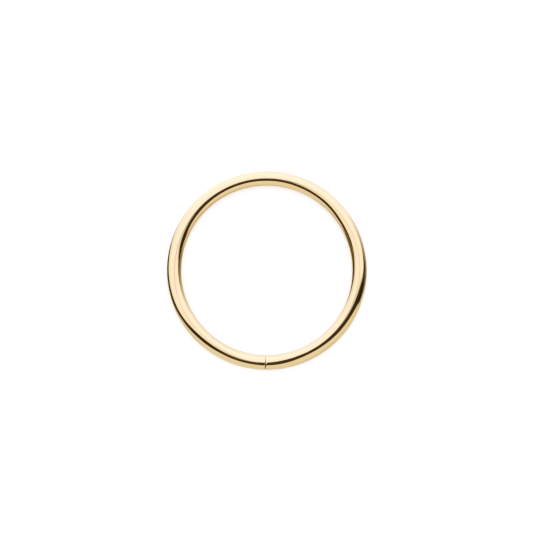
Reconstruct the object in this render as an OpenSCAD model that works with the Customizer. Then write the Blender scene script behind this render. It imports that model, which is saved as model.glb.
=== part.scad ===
// Seamless hoop: one length of round gold wire bent to a full circle, with its
// two cut ends meeting face to face. It lies flat, centred on the origin, on
// the plane z = 0, and its seam is at the front, on the -Y side.

/* [Wire] */
// Diameter of the round wire, 18 gauge
wire_d = 1.02; // [0.8:0.02:1.6]
// Radius of the rounding round the rim of each cut end
end_round = 0.04; // [0.02:0.01:0.08]

/* [Hoop] */
// Inside diameter of the closed hoop
inside_d = 12.0; // [8:0.5:16]
// Space left between the two cut ends, measured on the wire's centre line
seam_gap = 0.04; // [0.02:0.01:0.10]

/* [Hidden] */
$fn = 96;

// Direction of the seam, seen from the centre of the hoop
seam_angle = -90;

wire_r = wire_d / 2;
// Radius of the circle that the wire's centre line follows
bend_r = inside_d / 2 + wire_r;
// Length of an end cap's straight core inside the bent wire, short enough to
// stay clear of the wire's surface as the wire bends away from it
core_depth = wire_r / 2;

// Angle at the hoop's centre that a length along the centre line takes up, to
// a hundredth of a degree, so that the wire and its two ends meet exactly
function bend_angle(length) = round(length / bend_r * 180 / PI * 100) / 100;

// From the middle of the seam to where the bent wire gives way to an end cap
end_angle = bend_angle(seam_gap / 2 + end_round);

// The wire, bent round its full length between the two end caps
module bent_wire() {
    rotate([0, 0, seam_angle + end_angle])
        rotate_extrude(angle = 360 - 2 * end_angle)
            translate([bend_r, 0])
                circle(r = wire_r);
}

// The last of the wire at a cut end: a flat face with its rim rounded over.
// It stands on z = 0 with the cut face upwards, and its core goes on down into
// the bent wire, so that the two become one solid.
module end_cap() {
    rotate_extrude() {
        translate([0, -core_depth])
            square([wire_r - end_round, core_depth + end_round]);
        intersection() {
            translate([wire_r - end_round, 0])
                circle(r = end_round);
            square([wire_r, end_round]);
        }
    }
}

// An end cap on the bent wire's end, side = 1 to the right of the seam and
// -1 to its left
module cut_end(side) {
    rotate([0, 0, seam_angle + side * end_angle])
        translate([bend_r, 0, 0])
            rotate([side * 90, 0, 0])
                end_cap();
}

module hoop_wire() {
    color([0.89, 0.77, 0.54])
        translate([0, 0, wire_r]) {
            bent_wire();
            for (side = [-1, 1])
                cut_end(side);
        }
}

hoop_wire();
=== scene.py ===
# Seamless hoop: one length of round gold wire, bent to a full circle and
# pressed shut, lying on its side on a pale floor. Units are metres.
import math

import bmesh
import bpy
from mathutils import Matrix, Vector


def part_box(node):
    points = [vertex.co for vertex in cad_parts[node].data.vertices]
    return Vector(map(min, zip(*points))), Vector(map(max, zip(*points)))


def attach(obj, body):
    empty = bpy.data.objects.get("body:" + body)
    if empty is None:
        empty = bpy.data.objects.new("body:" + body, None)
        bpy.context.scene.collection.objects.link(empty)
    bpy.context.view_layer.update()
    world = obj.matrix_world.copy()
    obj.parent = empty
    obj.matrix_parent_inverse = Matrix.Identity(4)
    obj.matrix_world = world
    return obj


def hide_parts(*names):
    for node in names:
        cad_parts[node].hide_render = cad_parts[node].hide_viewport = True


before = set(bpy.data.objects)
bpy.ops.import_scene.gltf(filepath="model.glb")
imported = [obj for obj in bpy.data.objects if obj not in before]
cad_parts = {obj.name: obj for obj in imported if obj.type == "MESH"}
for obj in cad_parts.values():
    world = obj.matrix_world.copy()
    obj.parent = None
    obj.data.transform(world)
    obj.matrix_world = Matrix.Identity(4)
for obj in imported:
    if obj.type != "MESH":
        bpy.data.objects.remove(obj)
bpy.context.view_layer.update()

MM = 0.001

# The hoop, measured on the frame. It lies on z = 0, with its seam towards -Y.
low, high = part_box("hoop_wire")
# Room for rounding, so that the finished mesh stays inside the frame's box
ROUNDING = 0.0001 * MM
WIRE_R = (high.z - low.z) / 2
BEND_R = min(high.x, -low.x, high.y, -low.y) - WIRE_R - ROUNDING
HOOP_CENTRE = Vector((0, 0, (low.z + high.z) / 2))
SEAM_ANGLE = math.radians(-90)
# The cut ends all but meet in the wire's lower half. Above it they stand apart, by SEAM_OPENING at the
# wire's top, and by SEAM_SPREAD times as much again for each wire radius farther out.
SEAM_GAP = 0.001 * MM
SEAM_OPENING = 0.045 * MM
SEAM_SPREAD = 1.2
END_ROUND = 0.03 * MM
# Bending and closing pressed the wire a little out of round in three places: near the seam, on the left
# and on the right. The columns are the place, in degrees round the hoop from the seam to the right; its
# reach each way; how many degrees farther right it lies on the wire's outside; its slope; and its side,
# which is 1 where the wire's outside leans most and -1 where its inside does.
PRESSED = (
    (-6.5, 31, 9, 0.195, 1),
    (-70, 32, 0, 0.14, 1),
    (99, 28, 0, 0.13, -1))
# A slope lifts the wire's highest line by about this times its square, in wire radii, and that is
# taken off again
TOP_LIFT = 0.65

# The photograph's frame: a square picture of 533 pixels
PICTURE_SIDE = 533
PIXELS_PER_MM = 14.25
VIEW_WIDTH = PICTURE_SIDE / PIXELS_PER_MM * MM
# The hoop's centre in that picture, right of and below the middle
CENTRE_RIGHT = 0.3 / PIXELS_PER_MM * MM
CENTRE_BELOW = 3.8 / PIXELS_PER_MM * MM
# The view leans this far from straight above towards the seam, and is swung
# this far round the hoop
VIEW_LEAN = math.radians(7.5)
VIEW_SWING = math.radians(0.8)
VIEW_DISTANCE = 250 * MM
# A full-frame camera's sensor is this many millimetres wide
SENSOR = 36.0
# The camera sees from a tenth of its distance to ten times it
CLIP_RATIO = 10

# The view's directions before its swing
VIEW_AXIS = Vector((0, -math.sin(VIEW_LEAN), math.cos(VIEW_LEAN)))
VIEW_UP = Vector((0, math.cos(VIEW_LEAN), math.sin(VIEW_LEAN)))
VIEW_RIGHT = Vector((1, 0, 0))


def linear(hex_colour):
    """An sRGB hex colour as linear red, green, blue and alpha."""
    parts = [int(hex_colour[i:i + 2], 16) / 255 for i in (0, 2, 4)]
    return [c / 12.92 if c <= 0.04045 else ((c + 0.055) / 1.055) ** 2.4 for c in parts] + [1.0]


def add(tree, kind, inputs=None, **settings):
    """Adds a node with its settings. inputs gives a value, or a socket to link, by name or number."""
    node = tree.nodes.new(kind)
    for name, value in settings.items():
        setattr(node, name, value)
    for key, value in (inputs or {}).items():
        if isinstance(value, bpy.types.NodeSocket):
            tree.links.new(value, node.inputs[key])
        else:
            node.inputs[key].default_value = value
    return node


def new_material(name):
    """An empty node material, its node tree and its output node."""
    material = bpy.data.materials.new(name)
    material.use_nodes = True
    material.node_tree.nodes.clear()
    return material, material.node_tree, add(material.node_tree, "ShaderNodeOutputMaterial")


def mesh_object(bm, name):
    """Makes an object of a bmesh, at the origin, and puts it in the scene."""
    mesh = bpy.data.meshes.new(name)
    bm.to_mesh(mesh)
    bm.free()
    piece = bpy.data.objects.new(name, mesh)
    bpy.context.scene.collection.objects.link(piece)
    return piece


# Hoop

WIRE_SIDES = 96
BEND_STEPS = 384
ROUND_STEPS = 4


def place_in_wire(vert):
    """How far a point is out and up from the middle of the wire, in wire radii."""
    out = (math.hypot(vert.co.x, vert.co.y) - BEND_R) / WIRE_R
    up = (vert.co.z - HOOP_CENTRE.z) / WIRE_R
    return out, up


def open_seam(verts):
    """The ends meet below, and stand apart towards the top, more so on the outside."""
    for vert in verts:
        out, up = place_in_wire(vert)
        apart = SEAM_OPENING * max(0, up) * max(0, 1 + SEAM_SPREAD * out)
        vert.co.x += math.copysign(apart / 2, vert.co.x)


def press_wire(verts):
    """In each pressed place the wire's upper half is raised on the outside and lowered on the inside."""
    for vert in verts:
        for place, reach, slant, slope, side in PRESSED:
            out, up = place_in_wire(vert)
            turn = abs(math.degrees(math.atan2(vert.co.x, -vert.co.y)) - place - slant * out) / reach
            if turn < 1 and up > 0:
                # The slope eases to nothing at the end of the place's reach
                lean = slope * (1 - turn) ** 2 * (1 + 2 * turn)
                leaned = up + lean * out * (1 + side * out / 2) * up * (2 - up)
                raised = leaned / (1 + TOP_LIFT * lean ** 2)
                vert.co.z += WIRE_R * (raised - up)


def make_hoop():
    """The wire: a disc spun round the hoop from one side of the seam to the other, its rims rounded."""
    gap_angle = SEAM_GAP / BEND_R
    bm = bmesh.new()
    bmesh.ops.create_circle(bm, cap_ends=True, segments=WIRE_SIDES, radius=WIRE_R)
    stand_up = Matrix.Rotation(math.radians(90), 4, "X")
    to_wire = Matrix.Translation(HOOP_CENTRE + Vector((BEND_R, 0, 0)))
    to_seam = Matrix.Rotation(SEAM_ANGLE + gap_angle / 2, 4, "Z")
    bmesh.ops.transform(bm, matrix=to_seam @ to_wire @ stand_up, verts=bm.verts)
    bmesh.ops.spin(
        bm, geom=bm.verts[:] + bm.edges[:] + bm.faces[:], cent=HOOP_CENTRE, axis=(0, 0, 1),
        angle=math.tau - gap_angle, steps=BEND_STEPS, use_merge=False, use_duplicate=False)
    bmesh.ops.recalc_face_normals(bm, faces=bm.faces)
    cut_faces = [f for f in bm.faces if len(f.verts) == WIRE_SIDES]
    open_seam([v for f in cut_faces for v in f.verts])
    press_wire(bm.verts)
    rims = list({e for f in cut_faces for e in f.edges})
    bmesh.ops.bevel(
        bm, geom=rims, offset=END_ROUND, offset_type="OFFSET", affect="EDGES",
        segments=ROUND_STEPS, profile=0.5, material=-1)
    # The cut faces are flat and take the second material
    for face in bm.faces:
        cut = len(face.verts) == WIRE_SIDES
        face.smooth = not cut
        face.material_index = 1 if cut else 0
    return mesh_object(bm, "hoop")


# Nearly all of a noise's values lie between these two
NOISE_LOW = 0.3
NOISE_HIGH = 0.7

# Drawing leaves lines along the wire about 0.01 mm apart, and buffing leaves a haze in
# patches of about half a millimetre. The lines are drawn eight times coarser, to show.
DRAWN_LINE = 0.08 * MM
DRAWN_LENGTH = 3.0 * MM
LINE_DEPTH = 0.0006 * MM
LINE_DARK = "F8CE98"
LINE_PALE = "FCDAA6"
HAZE_PATCH = 0.5 * MM
BUFFED_ROUGHNESS = 0.04
HAZY_ROUGHNESS = 0.09
# Seen almost edge on, the alloy's mirror image stays a little yellow
EDGE_TINT = (0.97, 0.94, 0.84, 1)


def along_the_wire(tree, width, length):
    """A place on the wire as if it were straight: along it in lengths, and across it in widths."""
    place = add(tree, "ShaderNodeTexCoord")
    parts = add(tree, "ShaderNodeSeparateXYZ", {0: place.outputs["Object"]})
    flat = add(tree, "ShaderNodeCombineXYZ", {"X": parts.outputs["X"], "Y": parts.outputs["Y"]})
    from_axis = add(tree, "ShaderNodeVectorMath", {0: flat.outputs[0]}, operation="LENGTH")
    # The angle jumps by a whole turn at the seam, where the wire ends
    turn = add(tree, "ShaderNodeMath", {0: parts.outputs["X"], 1: parts.outputs["Y"]}, operation="ARCTAN2")
    along = add(tree, "ShaderNodeMath", {0: turn.outputs[0], 1: BEND_R / length}, operation="MULTIPLY")
    out = add(tree, "ShaderNodeMath", {0: from_axis.outputs["Value"], 1: width}, operation="DIVIDE")
    up = add(tree, "ShaderNodeMath", {0: parts.outputs["Z"], 1: width}, operation="DIVIDE")
    straight = add(tree, "ShaderNodeCombineXYZ", {
        "X": along.outputs[0], "Y": out.outputs[0], "Z": up.outputs[0]})
    return straight.outputs[0]


def polished_gold():
    """14 karat yellow gold, drawn to round wire and buffed: a warm mirror, with faint lines along it."""
    material, tree, output = new_material("polished_yellow_gold")
    lines = add(tree, "ShaderNodeTexNoise", {
        "Vector": along_the_wire(tree, DRAWN_LINE, DRAWN_LENGTH), "Scale": 1.0, "Detail": 2.0})
    haze = add(tree, "ShaderNodeTexNoise", {
        "Vector": along_the_wire(tree, HAZE_PATCH, HAZE_PATCH), "Scale": 1.0, "Detail": 3.0})
    colour = add(tree, "ShaderNodeValToRGB", {0: lines.outputs["Fac"]})
    dark, pale = colour.color_ramp.elements
    dark.position = NOISE_LOW
    dark.color = linear(LINE_DARK)
    pale.position = NOISE_HIGH
    pale.color = linear(LINE_PALE)
    roughness = add(tree, "ShaderNodeMapRange", {
        "Value": haze.outputs["Fac"], "From Min": NOISE_LOW, "From Max": NOISE_HIGH,
        "To Min": BUFFED_ROUGHNESS, "To Max": HAZY_ROUGHNESS})
    bump = add(tree, "ShaderNodeBump", {
        "Height": lines.outputs["Fac"], "Strength": 1.0, "Distance": LINE_DEPTH})
    shader = add(tree, "ShaderNodeBsdfPrincipled", {
        "Base Color": colour.outputs["Color"], "Metallic": 1.0, "Specular Tint": EDGE_TINT,
        "Roughness": roughness.outputs[0], "Normal": bump.outputs["Normal"]})
    tree.links.new(shader.outputs["BSDF"], output.inputs["Surface"])
    return material


# A jeweller's saw leaves marks about 0.05 mm apart, straight across the cut
SAW_MARK = 0.05 * MM
SAW_LENGTH = 0.5 * MM
SAW_DEPTH = 0.004 * MM
# The cut faces are coloured darker and more orange than the polished gold: painted shade in the narrow seam
SAWN_SHADED_COLOUR = "E6B650"
RUBBED_ROUGHNESS = 0.28
SAWN_ROUGHNESS = 0.42


def sawn_and_shaded_gold():
    """The same gold where the wire was cut: sawn and rubbed flat, so it is duller and cross-marked. Its
    colour is set darker, as painted shade in the seam.
    """
    material, tree, output = new_material("sawn_shaded_yellow_gold")
    place = add(tree, "ShaderNodeTexCoord")
    marks = add(tree, "ShaderNodeMapping", {
        "Vector": place.outputs["Object"], "Scale": (1 / SAW_LENGTH, 1 / SAW_LENGTH, 1 / SAW_MARK)})
    strokes = add(tree, "ShaderNodeTexNoise", {"Vector": marks.outputs[0], "Scale": 1.0, "Detail": 2.0})
    roughness = add(tree, "ShaderNodeMapRange", {
        "Value": strokes.outputs["Fac"], "From Min": NOISE_LOW, "From Max": NOISE_HIGH,
        "To Min": RUBBED_ROUGHNESS, "To Max": SAWN_ROUGHNESS})
    bump = add(tree, "ShaderNodeBump", {
        "Height": strokes.outputs["Fac"], "Strength": 1.0, "Distance": SAW_DEPTH})
    shader = add(tree, "ShaderNodeBsdfPrincipled", {
        "Base Color": linear(SAWN_SHADED_COLOUR), "Metallic": 1.0,
        "Roughness": roughness.outputs[0], "Normal": bump.outputs["Normal"]})
    tree.links.new(shader.outputs["BSDF"], output.inputs["Surface"])
    return material


# Studio

# The tent's half sizes, and its middle from the hoop's: its walls are nearest on the right and in front
TENT_HALF = Vector((60, 46, 29)) * MM
TENT_MIDDLE = Vector((-30, 12, 13)) * MM


def make_tent():
    """The light tent round the hoop: only the polished wire shows it, by reflection."""
    bm = bmesh.new()
    bmesh.ops.create_icosphere(bm, subdivisions=5, radius=1)
    bmesh.ops.scale(bm, vec=TENT_HALF, verts=bm.verts)
    bmesh.ops.translate(bm, vec=HOOP_CENTRE + TENT_MIDDLE, verts=bm.verts)
    bmesh.ops.reverse_faces(bm, faces=bm.faces)
    for face in bm.faces:
        face.smooth = True
    tent = mesh_object(bm, "light_tent")
    for kind in ("camera", "diffuse", "transmission", "volume_scatter", "shadow"):
        setattr(tent, "visible_" + kind, False)
    return tent


# The tent is laid out as a mirror ball in the hoop's place would show it, with the ball's edge at 1.
# A dark slot crosses it between the bright cloth above and the dimmer front panel below. The slot rises
# at both ends and grows light there. The columns are the place across, and the height of the slot's edge.
SLOT_TOP = (
    (-1.0, 0.15), (-0.9, 0.45), (-0.78, 0.26), (-0.7, 0.09), (-0.6, -0.02), (-0.5, -0.07),
    (-0.42, -0.1), (-0.35, -0.1), (-0.2, -0.05), (-0.06, 0.02), (-0.02, 0.07), (0.009, 0.16),
    (0.04, 0.12), (0.1, 0.085), (0.2, 0.075), (0.35, 0.075), (0.5, 0.09), (0.55, 0.15),
    (0.61, 0.3), (0.7, 0.37), (0.8, 0.38), (1.0, 0.36))
SLOT_BOTTOM = (
    (-1.0, 0.1), (-0.93, 0.0), (-0.86, -0.19), (-0.81, -0.3), (-0.7, -0.325), (-0.4, -0.335),
    (-0.2, -0.335), (-0.08, -0.29), (0.02, -0.27), (0.09, -0.25), (0.2, -0.225), (0.35, -0.215),
    (0.48, -0.17), (0.6, -0.155), (0.68, -0.19), (0.74, -0.14), (1.0, -0.05))
EDGE_SOFTNESS = 0.03
# Between these places across, the slot's top edge turns from sharp to as soft as on the far right
TURNS_SOFT = (0.55, 0.7)
RIGHT_SOFTNESS = 0.28

# The lights below are linear red, green, blue and alpha, because the cloth is brighter than white.
# The inside of the slot: the columns are the place across, and its light.
SLOT_LIGHT = (
    (-1.0, (0.45, 0.45, 0.36, 1)), (-0.9, (0.16, 0.16, 0.08, 1)), (-0.8, (0.05, 0.05, 0.03, 1)),
    (-0.3, (0.018, 0.018, 0.012, 1)), (0.0, (0.042, 0.04, 0.028, 1)), (0.2, (0.03, 0.03, 0.022, 1)),
    (0.68, (0.016, 0.016, 0.012, 1)), (0.75, (0.18, 0.18, 0.15, 1)), (0.82, (0.42, 0.42, 0.36, 1)),
    (1.0, (0.56, 0.57, 0.5, 1)))
# The cloth and the panel change evenly between these heights
CLOTH_HEIGHTS = (0.0, 0.6)
LOW_CLOTH = (1.53, 1.48, 1.44, 1)
HIGH_CLOTH = (2.0, 2.0, 2.16, 1)
PANEL_HEIGHTS = (-0.6, -0.3)
PANEL_FOOT = (1.0, 0.92, 0.84, 1)
PANEL_TOP = (1.13, 1.01, 0.83, 1)
# The tent is in shade at the ball's edge, where it nears the floor, and most so on the right. The shade
# goes by how squarely the ball faces the view, leant to the left, and clears between these two values.
SHADE_LEAN = 0.4
RIM_CLEARS = (0.0, 0.7)
RIM_SHADE = (0.55, 0.53, 0.45, 1)
# On the left, where the tent is farther off, it is dimmer and yellower, and clears between these places
LEFT_CLEARS = (-1.0, -0.45)
LEFT_SHADE = (0.51, 0.49, 0.42, 1)
UNSHADED = (1, 1, 1, 1)

# The places of a Mix node's sockets for colours
COLOUR_A = 6
COLOUR_B = 7
MIXED = 2


def place_on_ball(tree):
    """Where the mirror ball shows a place on the tent: the ball's slant there, and across and height."""
    place = add(tree, "ShaderNodeTexCoord")
    from_centre = add(tree, "ShaderNodeVectorMath", {
        0: place.outputs["Object"], 1: HOOP_CENTRE}, operation="SUBTRACT")
    direction = add(tree, "ShaderNodeVectorMath", {0: from_centre.outputs[0]}, operation="NORMALIZE")
    half_way = add(tree, "ShaderNodeVectorMath", {0: direction.outputs[0], 1: VIEW_AXIS}, operation="ADD")
    ball = add(tree, "ShaderNodeVectorMath", {0: half_way.outputs[0]}, operation="NORMALIZE")
    across = add(tree, "ShaderNodeVectorMath", {0: ball.outputs[0], 1: VIEW_RIGHT}, operation="DOT_PRODUCT")
    height = add(tree, "ShaderNodeVectorMath", {0: ball.outputs[0], 1: VIEW_UP}, operation="DOT_PRODUCT")
    return ball.outputs[0], across.outputs["Value"], height.outputs["Value"]


def above_edge(tree, across, height, points):
    """How far a place on the tent is above an edge of the slot."""
    edge = add(tree, "ShaderNodeFloatCurve", {"Value": across})
    mapping = edge.mapping
    # The ball reaches from -1 to 1 both ways
    mapping.clip_min_x = -1
    mapping.clip_min_y = -1
    curve = mapping.curves[0]
    curve.points[0].location = points[0]
    curve.points[1].location = points[-1]
    for place in points[1:-1]:
        curve.points.new(*place)
    for point in curve.points:
        point.handle_type = "AUTO_CLAMPED"
    mapping.update()
    above = add(tree, "ShaderNodeMath", {0: height, 1: edge.outputs[0]}, operation="SUBTRACT")
    return above.outputs[0]


def slot_light(tree, across):
    """The light inside the slot, which changes from left to right."""
    sideways = add(tree, "ShaderNodeMapRange", {"Value": across, "From Min": -1.0, "From Max": 1.0})
    ramp = add(tree, "ShaderNodeValToRGB", {0: sideways.outputs[0]})
    # A new ramp has a mark at each end
    marks = ramp.color_ramp.elements
    marks[0].color = SLOT_LIGHT[0][1]
    marks[1].color = SLOT_LIGHT[-1][1]
    for place_across, light in SLOT_LIGHT[1:-1]:
        marks.new((place_across + 1) / 2).color = light
    return ramp.outputs["Color"]


def light_by_height(tree, height, heights, lower, upper):
    """Light that changes evenly from lower to upper between two heights."""
    rise = add(tree, "ShaderNodeMapRange", {"Value": height, "From Min": heights[0], "From Max": heights[1]})
    light = add(tree, "ShaderNodeMix", {
        0: rise.outputs[0], COLOUR_A: lower, COLOUR_B: upper}, data_type="RGBA")
    return light.outputs[MIXED]


def shaded(tree, light, value, clears, shade):
    """The light times a shade, which clears evenly as the value goes between two others."""
    clear = add(tree, "ShaderNodeMapRange", {"Value": value, "From Min": clears[0], "From Max": clears[1]})
    tint = add(tree, "ShaderNodeMix", {
        0: clear.outputs[0], COLOUR_A: shade, COLOUR_B: UNSHADED}, data_type="RGBA")
    dimmed = add(tree, "ShaderNodeMix", {
        0: 1.0, COLOUR_A: light, COLOUR_B: tint.outputs[MIXED]}, data_type="RGBA", blend_type="MULTIPLY")
    return dimmed.outputs[MIXED]


def tent_cloth():
    """White cloth lit from outside, with a dimmer front panel below a dark slot."""
    material, tree, output = new_material("tent_cloth")
    # The cloth is only mirrored and lights nothing, so it isn't sampled as a lamp
    material.cycles.emission_sampling = "NONE"
    ball, across, height = place_on_ball(tree)
    panel = light_by_height(tree, height, PANEL_HEIGHTS, PANEL_FOOT, PANEL_TOP)
    above_bottom = add(tree, "ShaderNodeMapRange", {
        "Value": above_edge(tree, across, height, SLOT_BOTTOM),
        "From Min": -EDGE_SOFTNESS, "From Max": EDGE_SOFTNESS}, interpolation_type="SMOOTHSTEP")
    panel_and_slot = add(tree, "ShaderNodeMix", {
        0: above_bottom.outputs[0], COLOUR_A: panel, COLOUR_B: slot_light(tree, across)}, data_type="RGBA")
    softness = add(tree, "ShaderNodeMapRange", {
        "Value": across, "From Min": TURNS_SOFT[0], "From Max": TURNS_SOFT[1],
        "To Min": EDGE_SOFTNESS, "To Max": RIGHT_SOFTNESS})
    in_edge = add(tree, "ShaderNodeMath", {
        0: above_edge(tree, across, height, SLOT_TOP), 1: softness.outputs[0]}, operation="DIVIDE")
    above_top = add(tree, "ShaderNodeMapRange", {
        "Value": in_edge.outputs[0], "From Min": -1.0, "From Max": 1.0})
    light = add(tree, "ShaderNodeMix", {
        0: above_top.outputs[0], COLOUR_A: panel_and_slot.outputs[MIXED],
        COLOUR_B: light_by_height(tree, height, CLOTH_HEIGHTS, LOW_CLOTH, HIGH_CLOTH)}, data_type="RGBA")
    facing = add(tree, "ShaderNodeVectorMath", {
        0: ball, 1: VIEW_AXIS - VIEW_RIGHT * SHADE_LEAN}, operation="DOT_PRODUCT")
    off_rim = shaded(tree, light.outputs[MIXED], facing.outputs["Value"], RIM_CLEARS, RIM_SHADE)
    glow = add(tree, "ShaderNodeEmission", {"Color": shaded(tree, off_rim, across, LEFT_CLEARS, LEFT_SHADE)})
    tree.links.new(glow.outputs["Emission"], output.inputs["Surface"])
    return material


# Wide enough to fill the picture, and nearly all of a view from low down
FLOOR_SIDE = 2.4


def make_floor():
    """A plain pale floor. The wire doesn't mirror it, because the tent is all round the wire."""
    bm = bmesh.new()
    bmesh.ops.create_grid(bm, x_segments=1, y_segments=1, size=FLOOR_SIDE / 2)
    floor = mesh_object(bm, "floor")
    floor.visible_glossy = False
    return floor


CARD_COLOUR = "F4F4F4"


def white_card():
    """Matt white card: even and nearly without shine."""
    material, tree, output = new_material("white_card")
    shader = add(tree, "ShaderNodeBsdfPrincipled", {
        "Base Color": linear(CARD_COLOUR), "Roughness": 0.9, "Specular IOR Level": 0.2})
    tree.links.new(shader.outputs["BSDF"], output.inputs["Surface"])
    return material


# Bright enough that the open card is plain white
ROOM_LIGHT = 2.5


def light_room():
    """Even white light from all round."""
    world = bpy.data.worlds.new("room")
    world.use_nodes = True
    tree = world.node_tree
    tree.nodes.clear()
    background = add(tree, "ShaderNodeBackground", {"Color": (1, 1, 1, 1), "Strength": ROOM_LIGHT})
    output = add(tree, "ShaderNodeOutputWorld")
    tree.links.new(background.outputs["Background"], output.inputs["Surface"])
    bpy.context.scene.world = world


# A camera's soft shoulder: light up to 0.6 stays nearly as it is, and from there on it nears white ever
# more slowly, and reaches it at 2.2
SHOULDER = ((0.0, 0.0), (0.6, 0.6), (0.87, 0.74), (1.25, 0.89), (1.5, 0.98), (2.2, 1.0))


def set_tones():
    """Plain display colours, with the shoulder above."""
    settings = bpy.context.scene.view_settings
    settings.view_transform = "Standard"
    settings.use_curve_mapping = True
    mapping = settings.curve_mapping
    mapping.clip_max_x = SHOULDER[-1][0]
    mapping.clip_max_y = SHOULDER[-1][1]
    # The fourth curve acts on red, green and blue alike
    curve = mapping.curves[3]
    curve.points[0].location = SHOULDER[0]
    curve.points[1].location = SHOULDER[-1]
    for place in SHOULDER[1:-1]:
        curve.points.new(*place)
    mapping.update()


def make_camera():
    """The photograph's view, from above and a little towards the seam."""
    swing = Matrix.Rotation(VIEW_SWING, 3, "Z")
    axis = swing @ VIEW_AXIS
    up = swing @ VIEW_UP
    right = up.cross(axis)
    target = HOOP_CENTRE - right * CENTRE_RIGHT + up * CENTRE_BELOW
    data = bpy.data.cameras.new("camera")
    data.sensor_width = SENSOR
    data.lens = SENSOR * VIEW_DISTANCE / VIEW_WIDTH
    data.clip_start = VIEW_DISTANCE / CLIP_RATIO
    data.clip_end = VIEW_DISTANCE * CLIP_RATIO
    camera = bpy.data.objects.new("camera", data)
    turn = Matrix((right, up, axis)).transposed()
    camera.matrix_world = Matrix.Translation(target + axis * VIEW_DISTANCE) @ turn.to_4x4()
    bpy.context.scene.collection.objects.link(camera)
    bpy.context.scene.camera = camera


make_camera()
set_tones()
light_room()

floor = make_floor()
floor.data.materials.append(white_card())
tent = make_tent()
tent.data.materials.append(tent_cloth())

hoop = make_hoop()
hoop.data.materials.append(polished_gold())
hoop.data.materials.append(sawn_and_shaded_gold())
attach(hoop, "root")
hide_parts("hoop_wire")
